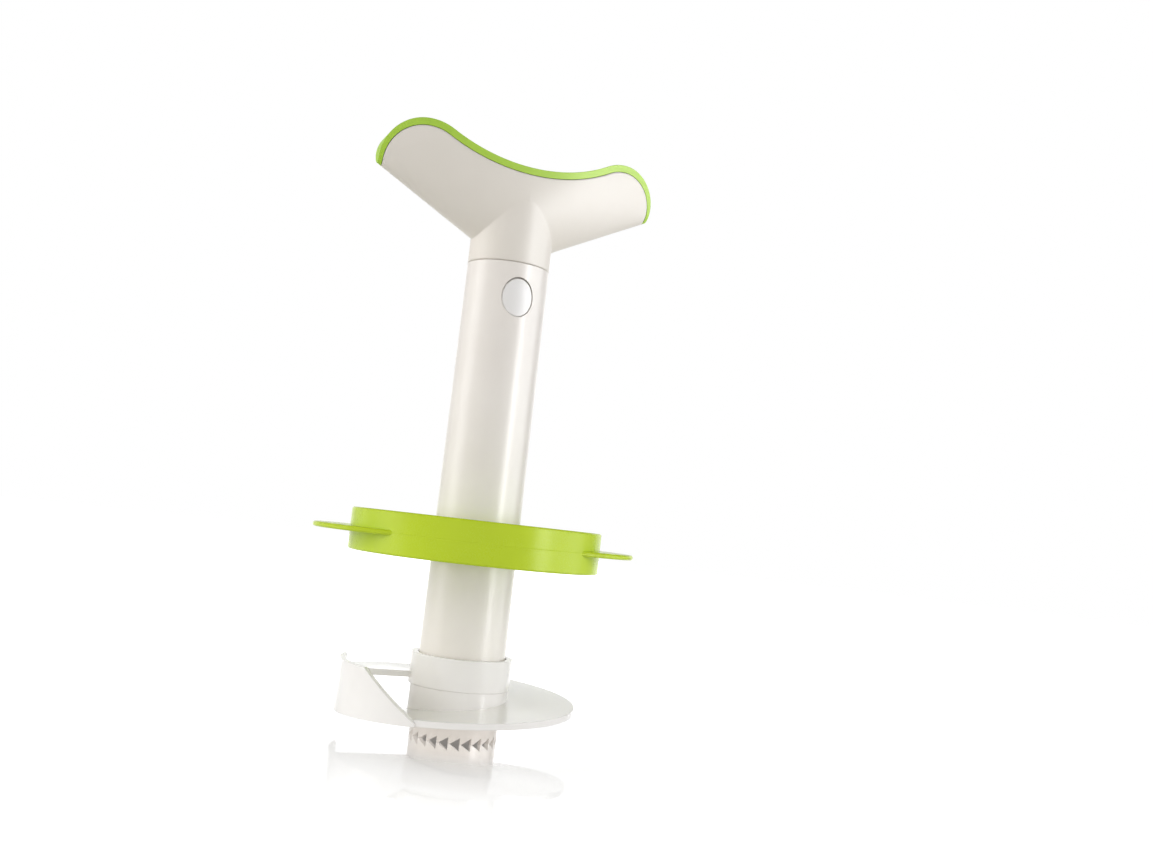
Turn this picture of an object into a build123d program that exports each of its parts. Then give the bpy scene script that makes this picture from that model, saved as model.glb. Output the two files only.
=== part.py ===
"""Hand corer and slicer for pineapples: a toothed tube with a helical blade, a twist grip that
lifts off at two push buttons, and a wedging ring that slides along the tube.

Millimetres, +Z up, origin on the tube's axis at the tips of its teeth. The front, where one of the
two buttons is, faces -Y. A bearing is counted from the front towards +X."""

import os
from math import asin, atan2, cos, degrees, radians, sin, sqrt, tan

from build123d import *

os.makedirs("parts", exist_ok=True)

# Clearances and cutting
running_gap = 0.3  # between pieces that slide on each other
seat_gap = 0.15  # between pieces of one body
overrun = 2.0  # how far a cut runs past the face that it opens

# Corer tube
tube_length = 176.0
tube_foot_radius = 16.1
tube_top_radius = 15.5
tube_wall = 2.0
tooth_count = 24
tooth_height = 2.3
tooth_tip = 0.6

# Blade
blade_radius = 43.3
blade_thickness = 2.2
blade_pitch = 13.5
blade_lead_height = 7.2
blade_lead_bearing = -90.0
blade_edge_thickness = 0.5
blade_bevel_length = 6.0
blade_hub_wall = 2.2
blade_hub_height = 22.8
blade_hub_step = 1.0  # how much the hub's spiral is lower than one turn
hub_bead = 0.3  # how far the hub's top stands out from its spiral

# Outer wall that bridges the blade's two ends
rim_stand_out = 1.0  # how far the wall stands out past the blade's edge
rim_wall = 1.8
rim_back_bearing = -118.5
rim_slant_top_bearing = -66.5
rim_slant_foot_bearing = -35.8
rim_knife_length = 3.5
rim_knife_edge = 0.4
rim_proud = 0.1  # how far the wall stands past the blade's underside
rim_lip = 2.7  # how far the wall stands above the blade

# Wedging ring
wedger_bottom = 64.8
wedger_height = 15.2
wedger_radius = 46.6
wedger_wall = 2.0
wedger_edge_break = 0.5
wedger_hub_wall = 1.8
wedger_blade_count = 8
wedger_blade_thickness = 1.4
wedger_blade_edge = 0.4
wedger_blade_height = 12.0
wedger_blade_bevel = 6.0
tab_bearing = 79.5
tab_length = 13.4
tab_round_radius = 33.0
tab_thickness = 1.8
tab_edge_break = 0.5

# Grip: a wave on top, two rising arms with a barrel-shaped underside
seam_gap = 0.2
grip_saddle_rise = 36.0  # lowest point of the wave above the tube's top
grip_saddle_radius = 61.5
grip_wave_angle = 30.2
grip_shoulder_radius = 18.6
grip_end_radius = 14.8
grip_end_drop_share = 0.61  # how far an end arc's centre lies above the underside, to its radius
arm_root_rise = 1.1  # where the arms' undersides meet, above the tube's top
arm_half_depth = 15.9
arm_end_half_depth = 6.9
arm_barrel_height = 28.3
grip_wall = 2.2
collar_height = 28.0
collar_chamfer = 0.3
socket_depth = 16.0
socket_ceiling_thickness = 3.0

# Cap strip along the top of the grip
cap_thickness = 2.8
cap_end_thickness = 1.65
cap_reveal = 0.2
peg_radius = 2.0
peg_length = 9.0
peg_inner_offset = 20.0
peg_outer_offset = 38.0
boss_wall = 1.4

# Stem that plugs the grip into the tube
stem_reach = 35.0
stem_flat_depth = 7.0
stem_flat_margin = 0.7  # between the latch groove and the end of the flats
stem_pocket_length = 18.0
stem_pocket_width = 9.6
stem_pocket_round = 2.0
stem_web = 3.2
key_width = 6.0
key_depth = 1.0
key_reach = 28.0

# Screws that hold the stem
screw_offset = 6.0
screw_radius = 1.5
screw_length = 11.0
screw_head_radius = 2.7
screw_head_height = 2.0
screw_socket_radius = 1.2
screw_socket_depth = 1.1

# Push buttons and their windows
button_drop = 13.0  # from the tube's top down to the button's middle
button_half_width = 5.95
button_half_length = 7.1
window_headroom = 0.4  # extra room in the window above the button
button_sink = 0.15
button_edge_break = 0.35
flange_side_lip = 0.8
flange_end_lip = 1.3
flange_thickness = 1.2

# Latch spring and the groove that its tips catch
spring_thickness = 0.8
spring_width = 6.0
spring_bend_radius = 1.2
spring_foot_rise = 6.0
groove_height = 2.0
groove_depth = 1.0

button_height = tube_length - button_drop
key_bottom = tube_length - key_reach
groove_bottom = button_height + button_half_length + flange_end_lip + running_gap
groove_top = groove_bottom + groove_height


def tube_radius(height):
    """Outside radius of the drafted tube at a height."""
    return tube_foot_radius + (tube_top_radius - tube_foot_radius) * height / tube_length


def facing(bearing):
    """Upright plane through the axis that looks outwards along a bearing, with Y up."""
    turn = radians(bearing)
    return Plane(origin=(0, 0, 0), x_dir=(cos(turn), sin(turn), 0), z_dir=(sin(turn), -cos(turn), 0))


def rise(bearing):
    """Height that the blade has gained between its leading edge and a bearing."""
    return blade_pitch * (bearing - blade_lead_bearing) / 360


def ring(inner_radius, outer_radius, bottom, top):
    """Plain upright ring."""
    with BuildPart() as solid:
        with BuildSketch(Plane.XY.offset(bottom)):
            Circle(outer_radius)
            Circle(inner_radius, mode=Mode.SUBTRACT)
        extrude(amount=top - bottom)
    return solid.part


def rod(radius, bottom, top, offset=0):
    """Upright round rod on the axis, or beside it along X."""
    with BuildPart() as solid:
        with BuildSketch(Plane.XY.offset(bottom)):
            with Locations((offset, 0)):
                Circle(radius)
        extrude(amount=top - bottom)
    return solid.part


# Corer tube

bore_radius = tube_radius(button_height) - tube_wall
tooth_pitch = 2 * tube_foot_radius * sin(radians(180 / tooth_count))
tooth_gap = tooth_pitch - tooth_tip

with BuildPart() as tooth_notch:
    with BuildSketch(Plane.XZ):
        with BuildLine():
            Polyline(
                (-tooth_gap / 2, -overrun),
                (tooth_gap / 2, -overrun),
                (tooth_gap / 2, tooth_height),
                (-tooth_gap / 2, 0),
                close=True,
            )
        make_face()
    extrude(amount=tube_foot_radius + overrun)

with BuildPart() as corer_tube:
    with BuildSketch(Plane.XZ):
        with BuildLine():
            Polyline(
                (tube_foot_radius - tube_wall, 0),
                (tube_foot_radius, 0),
                (tube_top_radius, tube_length),
                (tube_top_radius - tube_wall, tube_length),
                close=True,
            )
        make_face()
    revolve(axis=Axis.Z)
    with PolarLocations(0, tooth_count):
        add(tooth_notch.part, mode=Mode.SUBTRACT)
    with BuildSketch(Plane.XZ):
        with Locations((0, button_height + window_headroom / 2)):
            Ellipse(button_half_width + running_gap / 2,
                    button_half_length + (running_gap + window_headroom) / 2)
    extrude(amount=tube_foot_radius + overrun, both=True, mode=Mode.SUBTRACT)
    with BuildSketch(Plane.XY.offset(groove_bottom)):
        Circle(bore_radius + groove_depth)
    extrude(amount=groove_top - groove_bottom, mode=Mode.SUBTRACT)
    with BuildSketch(Plane.XY.offset(key_bottom)):
        Rectangle(2 * (bore_radius + key_depth), key_width)
    extrude(amount=tube_length - key_bottom + overrun, mode=Mode.SUBTRACT)
corer_tube.part.label = "corer_tube"

# Slicing blade: a one-turn helical disc on a hub, its two ends bridged by an outer wall

hub_inner_radius = tube_foot_radius + seat_gap
hub_outer_radius = hub_inner_radius + blade_hub_wall
rim_outer_radius = blade_radius + rim_stand_out
rim_inner_radius = rim_outer_radius - rim_wall
blade_top = blade_lead_height + blade_pitch + blade_thickness
blade_hub_top = blade_lead_height + blade_hub_height


def section(bearing, height=0):
    """Upright plane that holds the axis and runs out along a bearing, with Y up."""
    face = facing(bearing)
    return Plane(origin=(0, 0, height), x_dir=face.z_dir, z_dir=-face.x_dir)


def floor_plan(bearing):
    """Level plane with X across a bearing and Y from the bearing in towards the axis."""
    return Plane(origin=(0, 0, 0), x_dir=facing(bearing).x_dir, z_dir=(0, 0, 1))


def spiral(outline, turn):
    """Sweep an outline, drawn out from the axis and up from the leading edge, round the blade's helix."""
    path_radius = (hub_inner_radius + blade_radius) / 2
    with BuildPart() as solid:
        with BuildLine(Plane.XY.offset(blade_lead_height)) as path:
            Helix(blade_pitch, blade_pitch * turn / 360, path_radius)
        with BuildSketch(section(90, blade_lead_height)):
            with BuildLine():
                Polyline(*outline, close=True)
            make_face()
        sweep(path=path.line, is_frenet=True)
    return solid.part.rotate(Axis.Z, blade_lead_bearing - 90)


hub_strip_height = blade_pitch - blade_hub_step
rim_top = blade_top + rim_lip
rim_bottom = blade_lead_height - rim_proud
slant_middle = (rim_slant_top_bearing + rim_slant_foot_bearing) / 2
slant_half = rim_outer_radius * sin(radians(rim_slant_foot_bearing - slant_middle))
slant_foot_height = blade_lead_height + rise(rim_slant_foot_bearing) + blade_thickness / 2

# The wall's foot follows the blade, its front slants down to it and its back end is an upright knife
with BuildPart() as rim:
    with BuildSketch(section(rim_back_bearing)):
        with Locations(((rim_inner_radius + rim_outer_radius) / 2, (rim_bottom + rim_top) / 2)):
            Rectangle(rim_wall, rim_top - rim_bottom)
    revolve(axis=Axis.Z, revolution_arc=rim_slant_foot_bearing - rim_back_bearing)
    add(spiral(
        [(rim_inner_radius - overrun, -rim_proud), (rim_outer_radius + overrun, -rim_proud),
         (rim_outer_radius + overrun, -rim_proud - blade_pitch / 2),
         (rim_inner_radius - overrun, -rim_proud - blade_pitch / 2)],
        2 * (rim_slant_foot_bearing - blade_lead_bearing)), mode=Mode.SUBTRACT)
    with BuildSketch(facing(slant_middle)):
        with BuildLine():
            Polyline(
                (-slant_half, rim_top),
                (slant_half, slant_foot_height),
                (slant_half + overrun, slant_foot_height),
                (slant_half + overrun, rim_top + overrun),
                (-slant_half, rim_top + overrun),
                close=True,
            )
        make_face()
    extrude(amount=rim_outer_radius + overrun, mode=Mode.SUBTRACT)
    with BuildSketch(floor_plan(rim_back_bearing)):
        with BuildLine():
            Polyline(
                (-overrun, rim_knife_edge - rim_outer_radius),
                (0, rim_knife_edge - rim_outer_radius),
                (rim_knife_length, -rim_inner_radius),
                (rim_knife_length, overrun - rim_inner_radius),
                (-overrun, overrun - rim_inner_radius),
                close=True,
            )
        make_face()
    extrude(amount=rim_top + overrun, mode=Mode.SUBTRACT)

with BuildPart() as slicing_blade:
    add(spiral(
        [(hub_inner_radius, 0), (blade_radius, 0), (blade_radius, blade_thickness),
         (hub_outer_radius, blade_thickness), (hub_outer_radius, hub_strip_height),
         (hub_inner_radius, hub_strip_height)], 360))
    add(ring(hub_inner_radius + hub_bead, hub_outer_radius + hub_bead,
             blade_lead_height + hub_strip_height - blade_hub_step, blade_hub_top))
    add(rod(blade_radius, blade_hub_top, blade_hub_top + blade_pitch), mode=Mode.SUBTRACT)
    add(rim.part)
    with BuildSketch(facing(blade_lead_bearing).offset(hub_outer_radius + running_gap)):
        with BuildLine():
            Polyline(
                (-overrun, blade_lead_height + blade_edge_thickness),
                (0, blade_lead_height + blade_edge_thickness),
                (blade_bevel_length, blade_lead_height + blade_thickness + hub_bead),
                (blade_bevel_length, blade_lead_height + blade_pitch / 2),
                (-overrun, blade_lead_height + blade_pitch / 2),
                close=True,
            )
        make_face()
    extrude(amount=rim_inner_radius - hub_outer_radius - 2 * running_gap, mode=Mode.SUBTRACT)
slicing_blade.part.label = "slicing_blade"

# Wedging ring with its hub, radial blades and two finger tabs

wedger_top = wedger_bottom + wedger_height
wedger_inner_radius = wedger_radius - wedger_wall
wedger_hub_inner = tube_foot_radius + running_gap
wedger_hub_outer = wedger_hub_inner + wedger_hub_wall
wedger_blade_top = wedger_bottom + wedger_blade_height
tab_middle = wedger_bottom + wedger_height / 2
tab_centre = wedger_radius + tab_length - tab_round_radius

with BuildPart() as wedger_blade:
    with BuildSketch(facing(tab_bearing).offset(wedger_hub_inner + wedger_hub_wall / 2)):
        with BuildLine():
            Polyline(
                (-wedger_blade_thickness / 2, wedger_blade_top),
                (-wedger_blade_thickness / 2, wedger_bottom + wedger_blade_bevel),
                (-wedger_blade_edge / 2, wedger_bottom),
                (wedger_blade_edge / 2, wedger_bottom),
                (wedger_blade_thickness / 2, wedger_bottom + wedger_blade_bevel),
                (wedger_blade_thickness / 2, wedger_blade_top),
                close=True,
            )
        make_face()
    extrude(amount=wedger_inner_radius + wedger_wall / 2 - wedger_hub_inner - wedger_hub_wall / 2)

with BuildPart() as finger_tab:
    with BuildSketch(Plane.XY.offset(tab_middle - tab_thickness / 2)):
        with Locations(facing(tab_bearing).z_dir * tab_centre):
            Circle(tab_round_radius)
        Circle(wedger_radius - wedger_wall / 2, mode=Mode.SUBTRACT)
    extrude(amount=tab_thickness)
    tab_outline = finger_tab.edges().filter_by(
        lambda edge: edge.geom_type == GeomType.CIRCLE and edge.radius > wedger_radius / 2
        and edge.radius < wedger_radius - wedger_wall)
    chamfer(tab_outline, tab_edge_break)

with BuildPart() as wedger:
    with BuildSketch(Plane.XZ) as wedger_wall_section:
        with Locations((wedger_radius - wedger_wall / 2, tab_middle)):
            Rectangle(wedger_wall, wedger_height)
        chamfer(wedger_wall_section.vertices(), wedger_edge_break)
    revolve(axis=Axis.Z)
    add(ring(wedger_hub_inner, wedger_hub_outer, wedger_bottom, wedger_top))
    with PolarLocations(0, wedger_blade_count):
        add(wedger_blade.part)
    with PolarLocations(0, 2):
        add(finger_tab.part)
wedger.part.label = "wedger"

# Grip

arm_root_height = tube_length + arm_root_rise
grip_saddle_height = tube_length + grip_saddle_rise
crest_offset = (grip_saddle_radius + grip_shoulder_radius) * sin(radians(grip_wave_angle))
crest_height = (grip_saddle_height
                + (grip_saddle_radius + grip_shoulder_radius) * (1 - cos(radians(grip_wave_angle))))
grip_reach = crest_offset + grip_end_radius
end_rise = crest_height - grip_end_radius - arm_root_height
arm_slope = (atan2(end_rise, crest_offset)
             - asin(grip_end_drop_share * grip_end_radius / sqrt(crest_offset**2 + end_rise**2)))


def grip_block(drop, end_drop, floor=0):
    """Both arms between the wave on top and the arms' straight undersides, as a deep block. The wave
    is lowered by drop, its ends are drawn in by end_drop and the undersides are raised by floor."""
    root = arm_root_height + floor / cos(arm_slope)
    end_radius = grip_end_radius - end_drop
    end_centre = crest_height - drop - end_radius
    above_line = (end_centre - root - crest_offset * tan(arm_slope)) * cos(arm_slope)
    along_line = sqrt(end_radius**2 - above_line**2)
    tip = (crest_offset + above_line * sin(arm_slope) + along_line * cos(arm_slope),
           end_centre - above_line * cos(arm_slope) + along_line * sin(arm_slope))
    tip_angle = degrees(atan2(tip[1] - end_centre, tip[0] - crest_offset))
    with BuildPart() as solid:
        with BuildSketch(Plane.XZ):
            with BuildLine():
                CenterArc((0, grip_saddle_height + grip_saddle_radius), grip_saddle_radius + drop,
                          270, grip_wave_angle)
                CenterArc((crest_offset, crest_height - grip_shoulder_radius),
                          grip_shoulder_radius - drop, 90 + grip_wave_angle, -grip_wave_angle)
                CenterArc((crest_offset, end_centre), end_radius, 90, tip_angle - 90)
                Polyline(tip, (0, root), (0, grip_saddle_height - drop))
            make_face()
        extrude(amount=arm_half_depth + overrun, both=True)
        mirror(about=Plane.YZ)
    return solid.part


def grip_barrel(inset):
    """Space inside both arms, rounded below and narrower towards their ends, drawn in by an inset."""
    with BuildPart() as solid:
        for offset in (0, grip_reach / 2, grip_reach + overrun):
            half_depth = (arm_half_depth - inset
                          - (arm_half_depth - arm_end_half_depth) * (offset / grip_reach)**2)
            middle = arm_root_height + offset * tan(arm_slope) + arm_barrel_height
            with BuildSketch(Plane.YZ.offset(offset)):
                with Locations((0, middle)):
                    Ellipse(half_depth, arm_barrel_height - inset / cos(arm_slope))
                    Rectangle(2 * half_depth, crest_height - arm_root_height,
                              align=(Align.CENTER, Align.MIN))
        loft()
        mirror(about=Plane.YZ)
    return solid.part


def wave_height(offset):
    """Height of the wave on top of the grip, beside the axis."""
    offset = abs(offset)
    if offset < grip_saddle_radius * sin(radians(grip_wave_angle)):
        return grip_saddle_height + grip_saddle_radius - sqrt(grip_saddle_radius**2 - offset**2)
    return (crest_height - grip_shoulder_radius
            + sqrt(grip_shoulder_radius**2 - (offset - crest_offset)**2))


peg_places = (-peg_outer_offset, -peg_inner_offset, peg_inner_offset, peg_outer_offset)
screw_places = (-screw_offset, screw_offset)
boss_radius = peg_radius + seat_gap + boss_wall
collar_bottom = tube_length + seam_gap
collar_top = tube_length + collar_height
socket_ceiling = tube_length + socket_depth
core_radius = tube_top_radius - tube_wall / 2
core_top = socket_ceiling + socket_ceiling_thickness
socket_radius = bore_radius
screw_end = socket_ceiling - stem_web + screw_length

with BuildPart() as grip_hollow:
    add(grip_block(0, cap_end_thickness + grip_wall, grip_wall))
    add(grip_barrel(grip_wall), mode=Mode.INTERSECT)
    add(rod(core_radius, arm_root_height, core_top), mode=Mode.SUBTRACT)
    for place in peg_places:
        add(rod(boss_radius, arm_root_height, crest_height, place), mode=Mode.SUBTRACT)
    for place in screw_places:
        add(rod(screw_head_radius, arm_root_height, screw_end + boss_wall, place), mode=Mode.SUBTRACT)

with BuildPart() as collar:
    add(rod(tube_top_radius, collar_bottom, collar_top))
    chamfer(collar.faces().sort_by(Axis.Z)[0].edges(), collar_chamfer)

with BuildPart() as handle_body:
    add(grip_block(cap_thickness, cap_end_thickness))
    add(grip_barrel(0), mode=Mode.INTERSECT)
    add(collar.part)
    add(grip_hollow.part, mode=Mode.SUBTRACT)
    add(rod(socket_radius, arm_root_height - overrun, socket_ceiling), mode=Mode.SUBTRACT)
    for place in screw_places:
        add(rod(screw_radius + seat_gap, socket_ceiling, screw_end, place), mode=Mode.SUBTRACT)
    for place in peg_places:
        peg_foot = wave_height(place) - cap_thickness / 2 - peg_length
        add(rod(peg_radius + seat_gap, peg_foot - running_gap, crest_height, place),
            mode=Mode.SUBTRACT)
handle_body.part.label = "handle_body"

# Cap strip

with BuildPart() as grip_cap:
    add(grip_block(0, 0))
    add(grip_barrel(0), mode=Mode.INTERSECT)
    add(grip_block(cap_thickness - cap_reveal, cap_end_thickness - cap_reveal, -overrun),
        mode=Mode.SUBTRACT)
    for place in peg_places:
        peg_top = wave_height(place) - cap_thickness / 2
        add(rod(peg_radius, peg_top - peg_length, peg_top, place))
grip_cap.part.label = "grip_cap"

# Stem

stem_bottom = tube_length - stem_reach
stem_flat_top = groove_top + stem_flat_margin
stem_radius = bore_radius - running_gap

with BuildPart() as handle_stem:
    with BuildSketch(Plane.XY.offset(stem_bottom)):
        Circle(stem_radius)
    extrude(amount=socket_ceiling - stem_bottom)
    with BuildSketch(Plane.XY.offset(key_bottom + running_gap)):
        Rectangle(2 * (bore_radius + key_depth - running_gap), key_width - 2 * running_gap)
    extrude(amount=tube_length - key_bottom - running_gap)
    with BuildSketch(Plane.XY.offset(stem_bottom)):
        Rectangle(2 * tube_foot_radius, 2 * tube_foot_radius)
        Rectangle(2 * tube_foot_radius, 2 * stem_flat_depth, mode=Mode.SUBTRACT)
    extrude(amount=stem_flat_top - stem_bottom, mode=Mode.SUBTRACT)
    with BuildSketch(Plane.XY.offset(stem_bottom)):
        RectangleRounded(stem_pocket_length, stem_pocket_width, stem_pocket_round)
    extrude(amount=socket_ceiling - stem_web - stem_bottom, mode=Mode.SUBTRACT)
    for place in screw_places:
        add(rod(screw_radius + seat_gap, stem_bottom, socket_ceiling, place), mode=Mode.SUBTRACT)
handle_stem.part.label = "handle_stem"

# Screws

screw_seat = socket_ceiling - stem_web

with BuildPart() as stem_screws:
    for place in screw_places:
        add(rod(screw_radius, screw_seat, screw_end, place))
        add(rod(screw_head_radius, screw_seat - screw_head_height, screw_seat, place))
    with BuildSketch(Plane.XY.offset(screw_seat - screw_head_height)):
        with Locations(*((place, 0) for place in screw_places)):
            RegularPolygon(screw_socket_radius, 6)
    extrude(amount=screw_socket_depth, mode=Mode.SUBTRACT)
stem_screws.part.label = "stem_screws"

# Push buttons, held in the tube's windows by their flanges

flange_radius = bore_radius - running_gap
flange_inner_radius = flange_radius - flange_thickness

with BuildPart() as button_face:
    with BuildSketch(Plane.XZ):
        with Locations((0, button_height)):
            Ellipse(button_half_width, button_half_length)
    extrude(amount=tube_foot_radius)
    with BuildSketch(Plane.XY):
        Circle(tube_radius(button_height) - button_sink)
    extrude(amount=tube_length, mode=Mode.INTERSECT)
    chamfer(button_face.edges().filter_by(Plane.XZ, reverse=True).sort_by(Axis.Y)[:1],
            button_edge_break)

with BuildPart() as button_front:
    with BuildSketch(Plane.XZ):
        with Locations((0, button_height)):
            Ellipse(button_half_width + flange_side_lip, button_half_length + flange_end_lip)
    extrude(amount=tube_foot_radius)
    with BuildSketch(Plane.XY):
        Circle(flange_radius)
    extrude(amount=tube_length, mode=Mode.INTERSECT)
    add(button_face.part)
    with BuildSketch(Plane.XY):
        Circle(flange_inner_radius)
    extrude(amount=tube_length, mode=Mode.SUBTRACT)
button_front.part.label = "button_front"

with BuildPart() as button_rear:
    mirror(button_front.part, about=Plane.XZ)
button_rear.part.label = "button_rear"

# Latch spring: a bent strip whose hooked tips catch the groove above the buttons

leg_foot = stem_flat_depth + running_gap + spring_thickness / 2
leg_head = sqrt(flange_inner_radius**2 - (spring_width / 2)**2) - running_gap - spring_thickness / 2
spring_floor = stem_bottom - running_gap - spring_thickness / 2
hook_height = (groove_bottom + groove_top) / 2
hook_reach = bore_radius + groove_depth / 2

with BuildPart() as latch_spring:
    with BuildSketch(Plane.YZ):
        with BuildLine() as strip:
            FilletPolyline(
                (-hook_reach, hook_height),
                (-leg_head, hook_height),
                (-leg_head, button_height),
                (-leg_foot, stem_bottom + spring_foot_rise),
                (-leg_foot, spring_floor),
                (leg_foot, spring_floor),
                (leg_foot, stem_bottom + spring_foot_rise),
                (leg_head, button_height),
                (leg_head, hook_height),
                (hook_reach, hook_height),
                radius=spring_bend_radius,
            )
        trace(line_width=spring_thickness)
    extrude(amount=spring_width / 2, both=True)
latch_spring.part.label = "latch_spring"

pieces = (corer_tube, slicing_blade, wedger, handle_body, grip_cap, handle_stem, stem_screws,
          button_front, button_rear, latch_spring)
for piece in pieces:
    export_step(piece.part, f"parts/{piece.part.label}.step")
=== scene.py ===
from math import cos, radians, sin

import bmesh
import bpy
from mathutils import Matrix, Vector

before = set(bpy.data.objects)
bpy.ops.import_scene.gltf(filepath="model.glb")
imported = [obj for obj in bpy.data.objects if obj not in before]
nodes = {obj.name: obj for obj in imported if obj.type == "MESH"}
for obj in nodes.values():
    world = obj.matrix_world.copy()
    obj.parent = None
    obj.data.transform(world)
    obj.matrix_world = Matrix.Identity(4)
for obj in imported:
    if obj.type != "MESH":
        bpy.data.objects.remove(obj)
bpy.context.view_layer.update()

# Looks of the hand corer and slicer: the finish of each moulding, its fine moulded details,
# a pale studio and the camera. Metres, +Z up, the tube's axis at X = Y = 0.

MM = 0.001
scene = bpy.context.scene


# Shader building

class Wire:
    """Socket in a node tree. Sums of wires and numbers add the nodes that work them out."""

    def __init__(self, board, socket):
        self.board = board
        self.socket = socket

    def sum(self, operation, first, second):
        return self.board.node("ShaderNodeMath", {"operation": operation}, {0: first, 1: second})

    def __add__(self, other):
        return self.sum("ADD", self, other)

    def __radd__(self, other):
        return self.sum("ADD", other, self)

    def __sub__(self, other):
        return self.sum("SUBTRACT", self, other)

    def __rsub__(self, other):
        return self.sum("SUBTRACT", other, self)

    def __mul__(self, other):
        return self.sum("MULTIPLY", self, other)

    def __rmul__(self, other):
        return self.sum("MULTIPLY", other, self)

    def __pow__(self, power):
        return self.sum("POWER", self, power)

    def above(self, lowest):
        return self.sum("MAXIMUM", self, lowest)


class Board:
    """Node tree whose nodes are added by one method."""

    def __init__(self, tree):
        self.tree = tree

    def node(self, kind, settings, values, output=0):
        """Adds a node and gives back one of its outputs as a wire."""
        made = self.tree.nodes.new(kind)
        for name, value in settings.items():
            if name == "stops":
                ramp = made.color_ramp.elements
                while len(ramp) < len(value):
                    ramp.new(1)
                for element, (place, shade) in zip(ramp, value):
                    element.position = place
                    element.color = (shade, shade, shade, 1)
            else:
                setattr(made, name, value)
        for socket, value in values.items():
            self.put(made.inputs[socket], value)
        return Wire(self, made.outputs[output])

    def rise(self, value, low, high, start=0, end=1):
        """Smooth step from the start value to the end value as a wire goes from low to high."""
        return self.node("ShaderNodeMapRange", {"interpolation_type": "SMOOTHSTEP"}, {
            "Value": value, "From Min": low, "From Max": high, "To Min": start, "To Max": end})

    def put(self, socket, value):
        """Gives a socket a value or joins a wire to it."""
        if isinstance(value, Wire):
            self.tree.links.new(value.socket, socket)
        else:
            socket.default_value = value


class Finish(Board):
    """One material, with the nodes behind its shader."""

    def __init__(self, name, **shader_values):
        self.material = bpy.data.materials.new(name)
        self.material.use_nodes = True
        super().__init__(self.material.node_tree)
        self.shader = self.tree.nodes["Principled BSDF"]
        for setting, value in shader_values.items():
            socket = setting.replace("_", " ").title().replace("Ior", "IOR")
            self.shader.inputs[socket].default_value = value

    def feed(self, socket, value):
        """Joins a wire to the shader."""
        self.put(self.shader.inputs[socket], value)

    def place(self):
        """The point on the surface, in metres."""
        return self.node("ShaderNodeTexCoord", {}, {}, "Object")

    def stretched(self, factors):
        """The point on the surface, stretched along each axis."""
        return self.node("ShaderNodeMapping", {}, {"Vector": self.place(), "Scale": factors})

    def off_axis(self):
        """Distance from the tube's axis."""
        return self.node("ShaderNodeVectorMath", {"operation": "LENGTH"},
                         {0: self.stretched((1, 1, 0))}, "Value")

    def noise(self, size, detail=2, at=None):
        """Cloudy noise whose features are about the given size."""
        return self.node("ShaderNodeTexNoise", {}, {
            "Vector": at or self.place(), "Scale": 1 / size, "Detail": detail})

    def ramp(self, factor, *stops):
        """Grey between stops, each a place and a shade."""
        return self.node("ShaderNodeValToRGB", {"stops": stops}, {"Fac": factor})

    def blend(self, factor, first, second):
        """Colour between two colours."""
        return self.node("ShaderNodeMix", {"data_type": "RGBA"}, {0: factor, 6: first, 7: second}, 2)

    def rounded(self, radius):
        """Normal with softened edges."""
        return self.node("ShaderNodeBevel", {"samples": BEVEL_SAMPLES}, {"Radius": radius})

    def parting_line(self, level, radius, width, depth):
        """Relief of the thin groove outside a radius, where two mould halves met at a level."""
        up = self.node("ShaderNodeSeparateXYZ", {}, {0: self.place()}, "Z")
        away = self.node("ShaderNodeMath", {"operation": "ABSOLUTE"}, {0: up - level})
        return self.rise(away, 0, width, -depth, 0) * self.rise(self.off_axis(), radius, radius + width)

    def bump(self, height, depth=1, normal=None):
        """Normal with a relief of the given height."""
        values = {"Height": height, "Distance": depth}
        if normal:
            values["Normal"] = normal
        return self.node("ShaderNodeBump", {}, values)


def colour(red, green, blue):
    """Shader colour from the eight-bit colour that a screen shows."""
    def linear(level):
        value = level / 255
        return value / 12.92 if value <= 0.04045 else ((value + 0.055) / 1.055) ** 2.4
    return linear(red), linear(green), linear(blue), 1


# Finishes

BEVEL_SAMPLES = 4
CLOUD_GLOSS = 0.06  # how much roughness varies over the flow clouds
GRAIN_GLOSS = 0.08  # the same, over the die grain
LINE_GLOSS = 0.2  # the same, over brushed lines
LINE_DEPTH = 0.005 * MM
PARTING_LEVEL = 72.4 * MM
PARTING_RADIUS = 46 * MM  # the line runs only outside this radius
PARTING_HALF_WIDTH = 0.35 * MM
PARTING_DEPTH = 0.05 * MM


def moulded(name, shade, tint, roughness, grain, grain_depth, flow=30 * MM, soft_edge=0.3 * MM,
            seam=None, **shader):
    """Moulded plastic: faint flow clouds, a fine die grain and softened edges."""
    finish = Finish(name, **shader)
    clouds = finish.ramp(finish.noise(flow, 3), (0.35, 0), (0.65, 1))
    finish.feed("Base Color", finish.blend(clouds, shade, tint))
    die_grain = finish.noise(grain)
    finish.feed("Roughness", roughness + CLOUD_GLOSS * (clouds - 0.5) + GRAIN_GLOSS * (die_grain - 0.5))
    relief = grain_depth * die_grain
    if seam:
        relief = relief + finish.parting_line(*seam)
    finish.feed("Normal", finish.bump(relief, normal=finish.rounded(soft_edge)))
    return finish.material


def brushed(name, shade, tint, roughness, size, along):
    """Steel with fine lines along one axis."""
    finish = Finish(name, metallic=1)
    lines = finish.noise(size, 3, finish.stretched(along))
    finish.feed("Base Color", finish.blend(lines, shade, tint))
    finish.feed("Roughness", roughness + LINE_GLOSS * (lines - 0.5))
    finish.feed("Normal", finish.bump(lines, LINE_DEPTH))
    return finish.material


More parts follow.
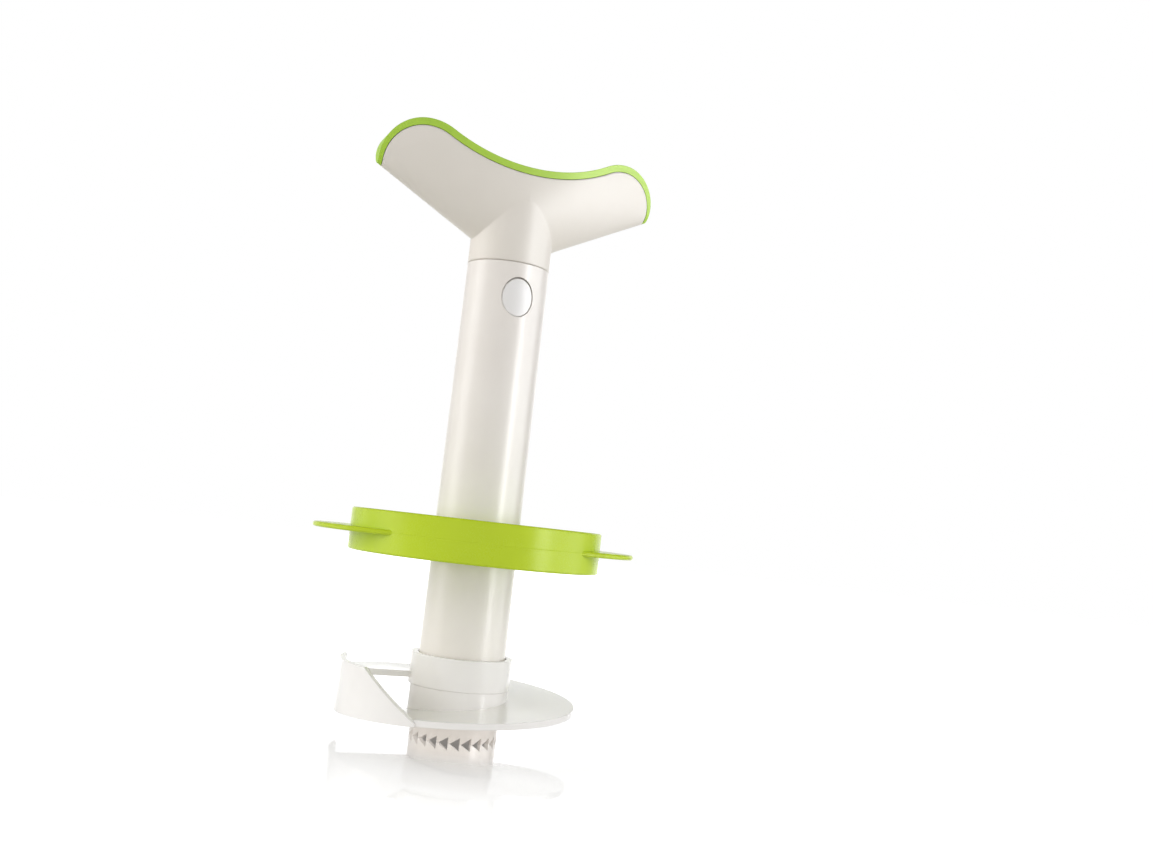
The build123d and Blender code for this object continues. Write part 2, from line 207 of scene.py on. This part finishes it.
tube_pearl = moulded("pearl_white_tube", colour(243, 237, 229), colour(239, 232, 224), 0.34,
                     0.25 * MM, 0.004 * MM, coat_weight=0.45, coat_roughness=0.28)
blade_white = moulded("blade_white", colour(246, 243, 239), colour(242, 238, 234), 0.22,
                      0.4 * MM, 0.002 * MM, coat_weight=0.3, coat_roughness=0.08)
grip_white = moulded("grip_satin_white", colour(236, 229, 219), colour(231, 224, 213), 0.46,
                     0.3 * MM, 0.008 * MM, flow=45 * MM, soft_edge=1.1 * MM,
                     coat_weight=0.2, coat_roughness=0.35)
strip_green = moulded("strip_green", colour(176, 215, 50), colour(168, 209, 42), 0.44,
                      0.3 * MM, 0.006 * MM, specular_ior_level=0.65)
ring_green = moulded("ring_lime_green", colour(198, 221, 46), colour(193, 216, 40), 0.28,
                     0.5 * MM, 0.002 * MM, specular_ior_level=0.22,
                     seam=(PARTING_LEVEL, PARTING_RADIUS, PARTING_HALF_WIDTH, PARTING_DEPTH))
button_white = moulded("button_white", colour(244, 242, 239), colour(241, 238, 235), 0.4,
                       0.3 * MM, 0.002 * MM, coat_weight=0.3, coat_roughness=0.35)
stem_white = moulded("stem_white", colour(222, 221, 219), colour(214, 213, 211), 0.5,
                     0.3 * MM, 0.01 * MM)
spring_steel = brushed("spring_steel", colour(190, 190, 194), colour(222, 222, 226), 0.3,
                       0.3 * MM, (0.1, 1, 1))
screw_steel = brushed("screw_steel", colour(176, 177, 182), colour(212, 213, 217), 0.35,
                      0.4 * MM, (1, 1, 0.1))

worn_by = {
    "corer_tube": tube_pearl, "slicing_blade": blade_white, "wedger": ring_green,
    "handle_body": grip_white, "grip_cap": strip_green, "handle_stem": stem_white,
    "stem_screws": screw_steel, "button_front": button_white, "button_rear": button_white,
    "latch_spring": spring_steel,
}
for name, material in worn_by.items():
    node = nodes[name]
    if not node.material_slots:
        node.data.materials.append(material)
    for slot in node.material_slots:
        slot.material = material


# Studio

AIM_HEIGHT = 0.12  # the lamps face the middle of the tool
COOL = (0.95, 0.97, 1)
FRONT_BEARING = -18.5  # the room's soft light comes from the front and from the left
FRONT_GLOW = 1.19
LEFT_BEARING = -108.5
LEFT_GLOW = 1.11
HORIZON_BEARING = 157  # straight behind the tool, seen from the camera
HORIZON_LIGHT = 1.25
FLOOR_RADIUS = 3
FLOOR_SIDES = 96
FLOOR_CLOUDS = 90 * MM
BOUNCE_DEPTH = 0.1 * MM  # how far the matt floor lies under the glossy one


def beside(bearing, distance, height):
    """Point at a bearing from the front and a distance from the tube's axis."""
    return Vector((distance * sin(radians(bearing)), -distance * cos(radians(bearing)), height))


def soft_box(name, bearing, distance, height, width, tall, power, tint=(1, 1, 1), only_mirrored=False):
    """Lamp with a broad face, turned to the middle of the tool."""
    lamp = bpy.data.lights.new(name, "AREA")
    lamp.shape = "RECTANGLE"
    lamp.size = width
    lamp.size_y = tall
    lamp.energy = power
    lamp.color = tint
    box = bpy.data.objects.new(name, lamp)
    box.location = beside(bearing, distance, height)
    box.rotation_euler = (Vector((0, 0, AIM_HEIGHT)) - box.location).to_track_quat("-Z", "Y").to_euler()
    box.visible_diffuse = not only_mirrored
    box.light_linking.receiver_collection = off_the_lamps
    scene.collection.objects.link(box)


def round_sheet(name, height, finish):
    """Large level sheet of the stage."""
    sheet = bmesh.new()
    bmesh.ops.create_circle(sheet, cap_ends=True, segments=FLOOR_SIDES, radius=FLOOR_RADIUS)
    bmesh.ops.translate(sheet, verts=sheet.verts, vec=(0, 0, height))
    mesh = bpy.data.meshes.new(name)
    sheet.to_mesh(mesh)
    sheet.free()
    mesh.materials.append(finish.material)
    piece = bpy.data.objects.new(name, mesh)
    scene.collection.objects.link(piece)
    return piece


def surroundings():
    """Pale room: soft light from the front and the left, and plain white behind the tool and along
    the horizon wherever the camera or the glossy floor sees it."""
    world = bpy.data.worlds.new("studio")
    scene.world = world
    world.use_nodes = True
    room = Board(world.node_tree)
    ahead_of = room.node("ShaderNodeTexCoord", {}, {}, "Generated")

    def lean(bearing):
        """How far a direction leans to a bearing, 1 when it points there."""
        return room.node("ShaderNodeVectorMath", {"operation": "DOT_PRODUCT"},
                         {0: ahead_of, 1: beside(bearing, 1, 0)}, "Value")

    glow = (FRONT_GLOW * lean(FRONT_BEARING).above(0) ** 2
            + LEFT_GLOW * lean(LEFT_BEARING).above(0) ** 2)
    height = room.node("ShaderNodeSeparateXYZ", {}, {0: ahead_of}, "Z")
    band = room.rise(height, 0.35, 0.75, 1, 0) * room.rise(lean(HORIZON_BEARING), 0.75, 0.92)
    seen = room.node("ShaderNodeLightPath", {}, {}, "Is Camera Ray")
    mirrored = room.node("ShaderNodeLightPath", {}, {}, "Is Glossy Ray")
    light = (1 - seen) * glow + seen + mirrored * band * HORIZON_LIGHT
    room.put(world.node_tree.nodes["Background"].inputs["Strength"], light)
    world.node_tree.nodes["Background"].inputs["Color"].default_value = (1, 1, 1, 1)


# The camera and mirror images see a glossy floor, which is a better mirror close to the foot and glows
# less there:
# painted shade on the floor round the foot and inside the tube. Soft light bounces off a matt floor
# just under it, which also glows.
glossy_floor = Finish("floor_gloss_white", roughness=0.01, emission_strength=1)
off_axis = glossy_floor.off_axis()
past_foot = glossy_floor.rise(off_axis, 28 * MM, 70 * MM)
floor_grey = glossy_floor.blend(glossy_floor.noise(FLOOR_CLOUDS), colour(120, 119, 118),
                                colour(126, 125, 124))
glossy_floor.feed("Base Color", glossy_floor.blend(past_foot, colour(246, 246, 246), floor_grey))
glossy_floor.feed("Metallic", 1 - past_foot)
# Painted shade: the floor glows less towards the foot and least within and close round the tube, where
# shade falls.
glow_with_painted_shade = glossy_floor.rise(off_axis, 25 * MM, 140 * MM, 0.43, 0.84)
glossy_floor.feed("Emission Color", glow_with_painted_shade - 0.32 * (1 - past_foot))
floor = round_sheet("floor", 0, glossy_floor)
floor.visible_diffuse = False

matt_floor = Finish("floor_matt_white", roughness=0.6, emission_strength=1)
off_axis = matt_floor.off_axis()
matt_floor.feed("Base Color", matt_floor.blend(matt_floor.noise(FLOOR_CLOUDS), colour(238, 238, 238),
                                               colour(242, 242, 242)))
# The hidden matt floor glows as a light, most near the foot to light it from below, and its glow is
# dimmed under the tube's bore.
glow_near = matt_floor.rise(off_axis, 40 * MM, 160 * MM, 0.34, 0.1)
dim_in_tube = matt_floor.rise(off_axis, 13 * MM, 16 * MM, 0.45)
matt_floor.feed("Emission Color", glow_near * dim_in_tube)
under_floor = round_sheet("floor_bounce", -BOUNCE_DEPTH, matt_floor)
under_floor.visible_camera = False
under_floor.visible_glossy = False
under_floor.visible_shadow = False

# The lamps light everything but the glossy floor, which would show their outlines.
off_the_lamps = bpy.data.collections.new("off_the_lamps")
off_the_lamps.objects.link(floor)
off_the_lamps.collection_objects[0].light_linking.link_state = "EXCLUDE"

# Name, bearing, distance, height, width, how tall, power
soft_box("soft_box_right", 48.5, 0.6, 0.2, 0.3, 0.6, 0.98, COOL)
soft_box("soft_box_far_right", 75, 0.5, 0.2, 0.25, 0.6, 1.12, COOL)
soft_box("soft_box_behind", -140.5, 0.8, 0.25, 0.5, 0.8, 0.24)
soft_box("soft_box_left", -100, 0.6, 0.25, 0.35, 0.6, 1.4)
soft_box("strip_box_right", 41.5, 0.5, 0.15, 0.1, 0.5, 1.4, COOL, only_mirrored=True)
soft_box("strip_box_far_right", 75, 0.5, 0.2, 0.25, 0.6, 2.9, COOL, only_mirrored=True)
soft_box("soft_box_above", 20, 0.6, 0.6, 0.4, 0.4, 0.22)
surroundings()
scene.view_settings.view_transform = "Standard"


# Camera, where it stood for the photograph

CAMERA_PLACE = Vector((-141.98, -424.34, 80.26)) * MM
CAMERA_AZIMUTH = radians(22.72)
CAMERA_PITCH = radians(4.705)
CAMERA_ROLL = radians(6.452)
CAMERA_LENS = 37.04
SENSOR_WIDTH = 36

ahead = Vector((sin(CAMERA_AZIMUTH) * cos(CAMERA_PITCH), cos(CAMERA_AZIMUTH) * cos(CAMERA_PITCH),
                sin(CAMERA_PITCH)))
level = Vector((cos(CAMERA_AZIMUTH), -sin(CAMERA_AZIMUTH), 0))
over = level.cross(ahead)
right = level * cos(CAMERA_ROLL) + over * sin(CAMERA_ROLL)
up = over * cos(CAMERA_ROLL) - level * sin(CAMERA_ROLL)

lens = bpy.data.cameras.new("camera")
lens.lens = CAMERA_LENS
lens.sensor_width = SENSOR_WIDTH
lens.clip_start = 0.01
camera = bpy.data.objects.new("camera", lens)
turned = Matrix((right, up, -ahead)).transposed().to_4x4()
camera.matrix_world = Matrix.Translation(CAMERA_PLACE) @ turned
scene.collection.objects.link(camera)
scene.camera = camera
